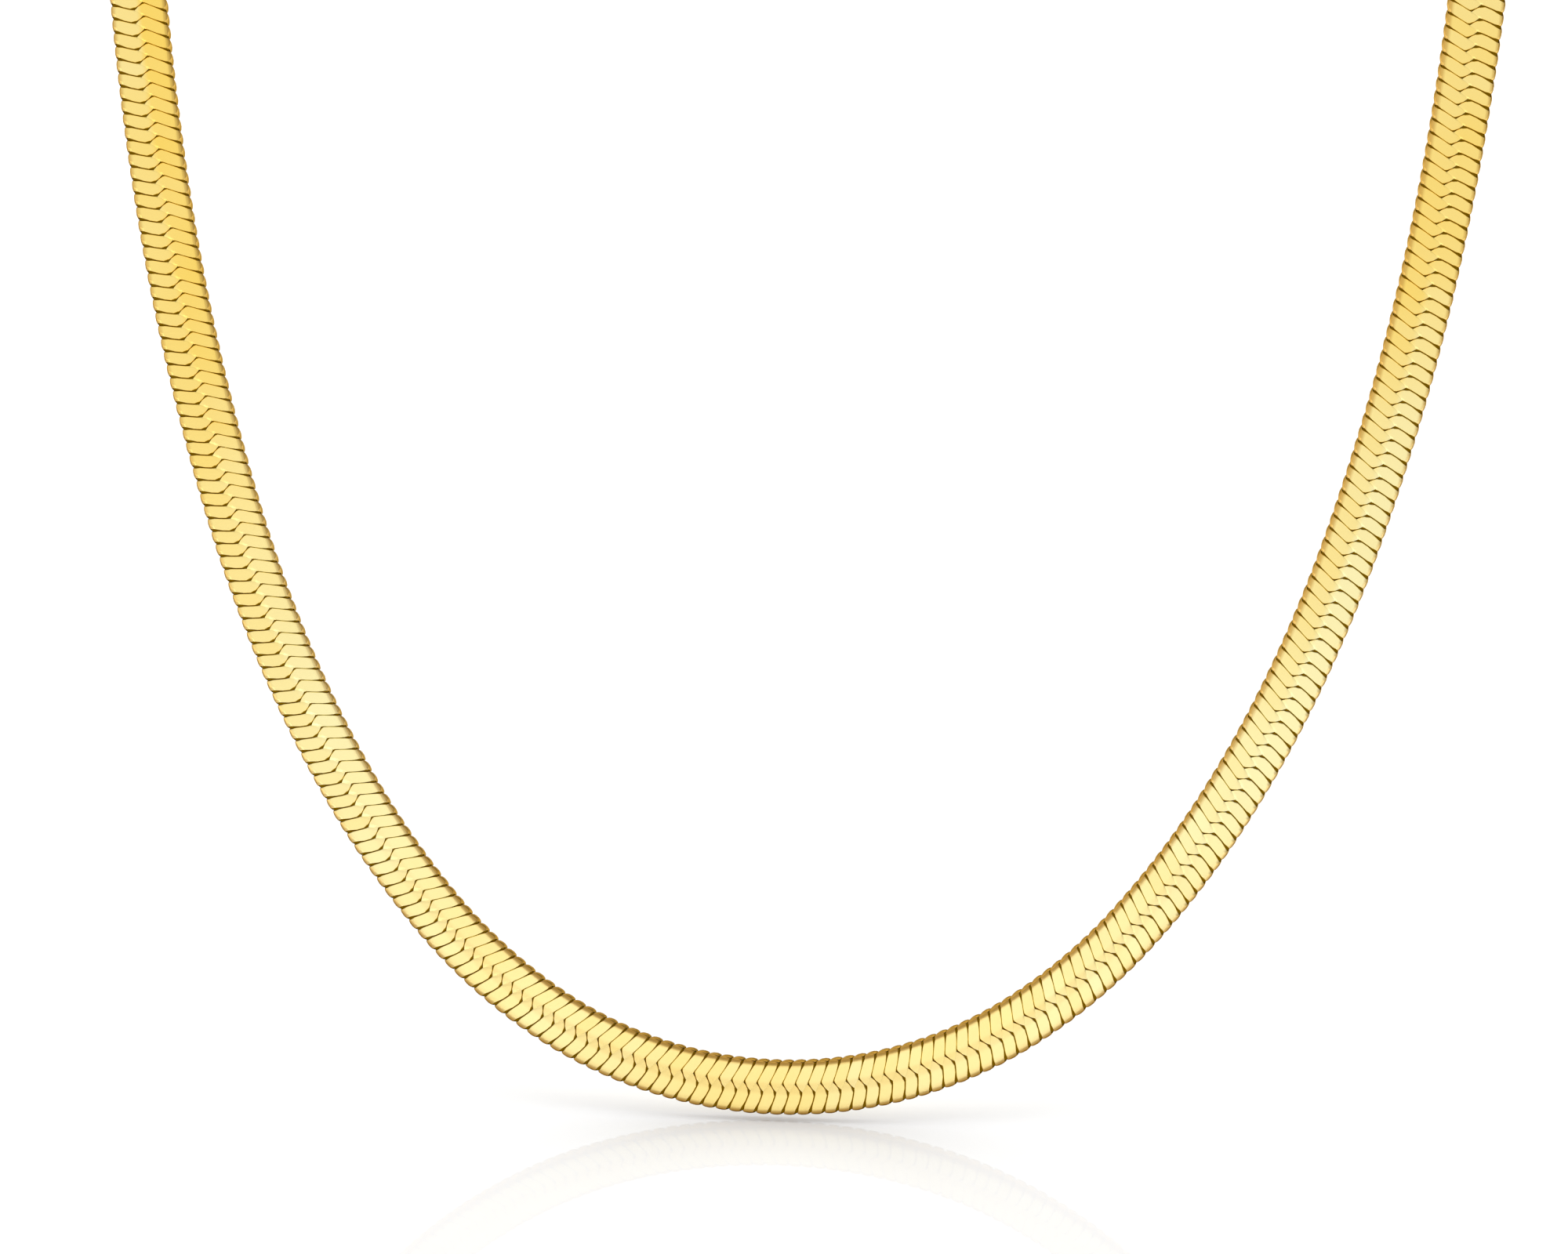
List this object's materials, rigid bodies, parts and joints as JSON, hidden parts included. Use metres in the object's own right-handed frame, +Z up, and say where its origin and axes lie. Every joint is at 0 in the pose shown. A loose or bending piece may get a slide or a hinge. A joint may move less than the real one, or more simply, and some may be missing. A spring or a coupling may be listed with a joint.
{
  "type": "flat snake chain necklace",
  "caption": "Flat snake chain necklace that hangs as a U at the front, rolls over the shoulders and closes at the nape with a small plain box clasp.",
  "frame": {"origin": "under the middle of the clasp, on the face that rests on the nape of the neck", "axes": "+Z up, the front of the necklace looks towards -Y, +X to the right as seen from the front"},
  "size_m": [0.1234, 0.0819, 0.1299],
  "materials": {
    "chain_left": "bright polished yellow gold tone, fine lines between the flattened links",
    "chain_right": "bright polished yellow gold tone, fine lines between the flattened links",
    "clasp": "bright polished yellow gold tone, plain"
  },
  "bodies": {
    "root": {"chain_left": "chain_left", "chain_right": "chain_right", "clasp": "clasp"}
  },
  "joints": []
}
